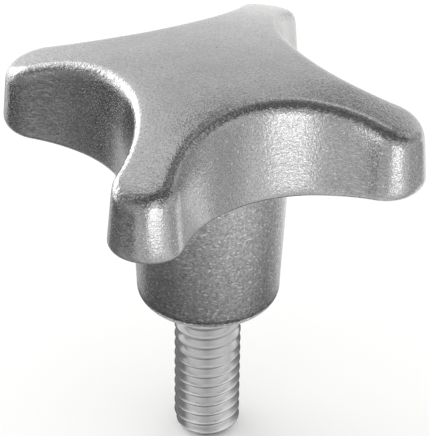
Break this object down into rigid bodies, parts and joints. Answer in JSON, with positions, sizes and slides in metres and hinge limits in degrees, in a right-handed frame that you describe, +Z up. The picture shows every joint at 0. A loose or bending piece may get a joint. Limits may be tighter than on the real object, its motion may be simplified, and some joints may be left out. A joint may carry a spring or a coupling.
{
  "type": "cross knob",
  "caption": "Cross-shaped palm grip with a domed crown, hollow flanks and a drafted round hub, turned by hand to clamp or adjust by its fixed threaded stud.",
  "frame": {"origin": "centre of the hub's seating face, on the stud's axis", "axes": "+Z up the axis to the crown, +X along one arm"},
  "size_m": [0.05, 0.05, 0.0507],
  "materials": {
    "cast_steel": "tumbled, matt cast stainless steel with a fine grain and soft edges",
    "turned_steel": "plain bright stainless steel with a right-hand thread"
  },
  "bodies": {
    "root": {"cross_grip": "cast_steel", "threaded_stud": "turned_steel"}
  },
  "joints": []
}
